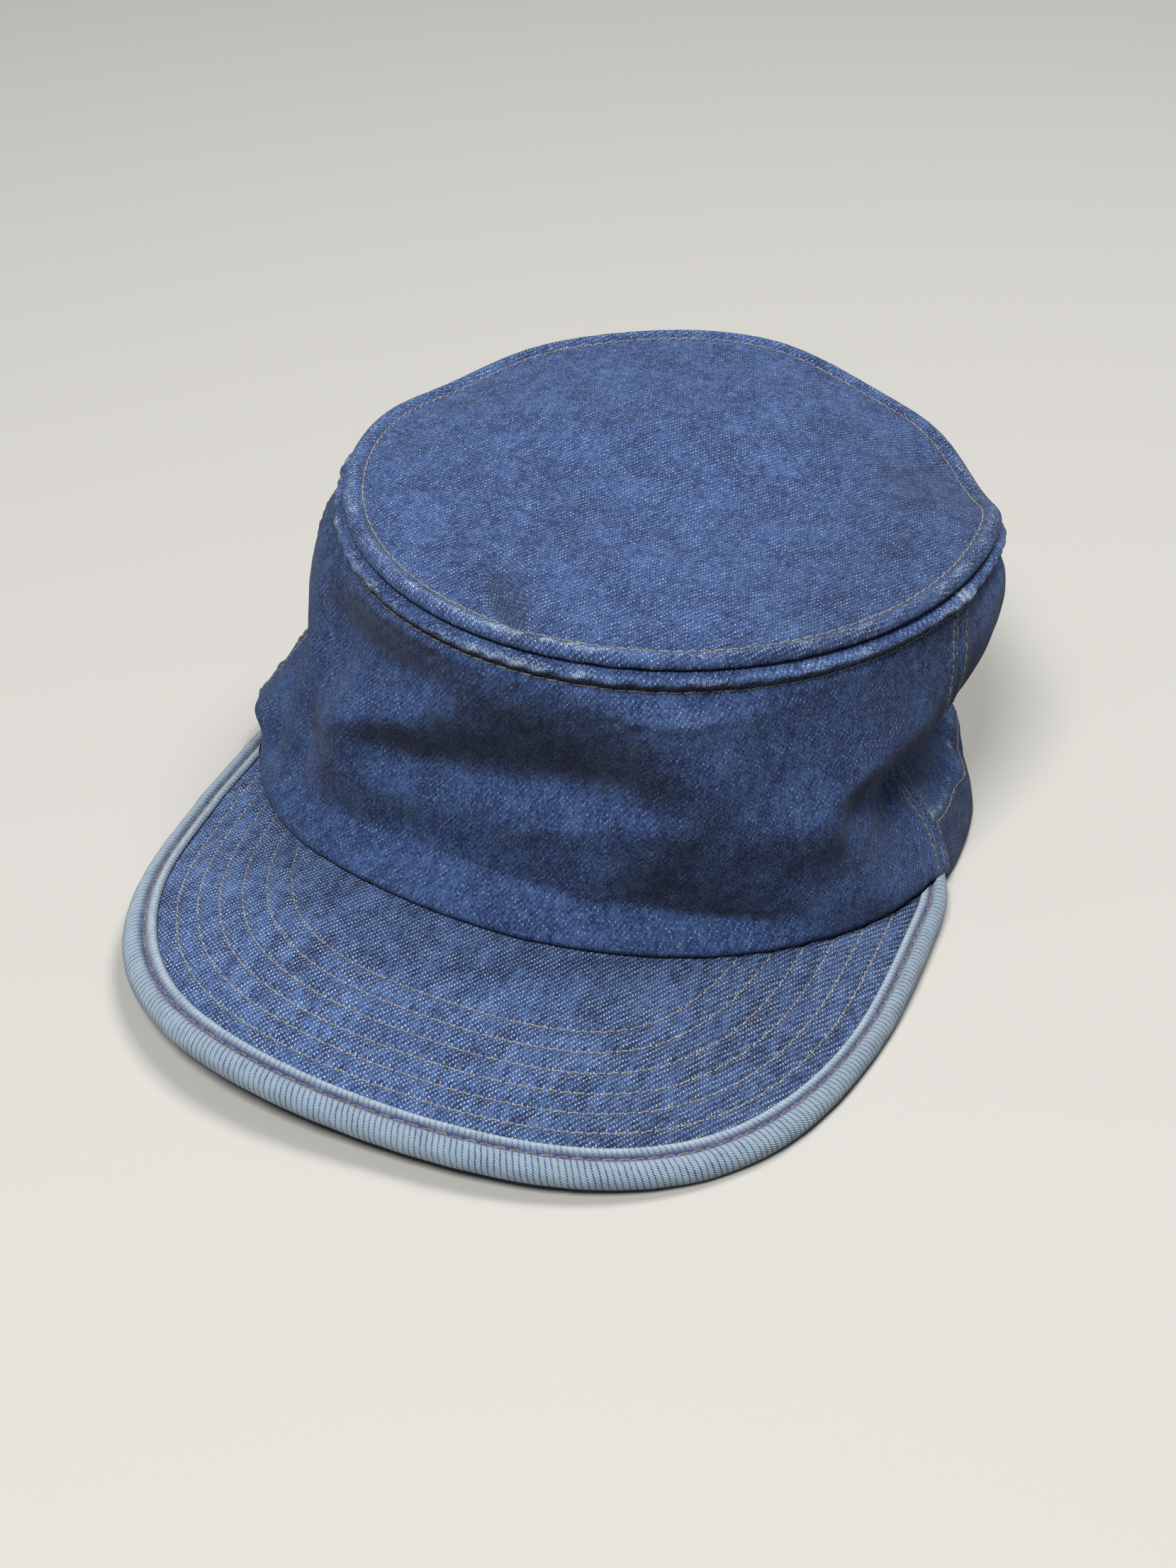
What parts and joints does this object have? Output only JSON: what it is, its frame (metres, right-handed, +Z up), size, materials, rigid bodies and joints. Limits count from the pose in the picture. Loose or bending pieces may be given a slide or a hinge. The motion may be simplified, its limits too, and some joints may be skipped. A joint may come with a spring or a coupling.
{
  "type": "work cap",
  "caption": "Soft denim work cap with a round flat top, a slouched side wall and a stiff stitched peak with a bound edge, lying on its rim.",
  "frame": {"origin": "middle of the cap's bounding box, on the surface that it lies on", "axes": "+Z up, -Y towards the front of the peak, +X towards the wearer's left"},
  "size_m": [0.195, 0.2576, 0.092],
  "materials": {
    "denim": "washed mid-blue denim twill with worn seams",
    "pale_denim": "pale reverse side of washed denim, rolled into a binding"
  },
  "bodies": {
    "root": {"crown_top": "denim", "front_panel": "denim", "back_panel": "denim", "back_band": "denim", "peak": "denim", "peak_binding": "pale_denim"}
  },
  "joints": []
}
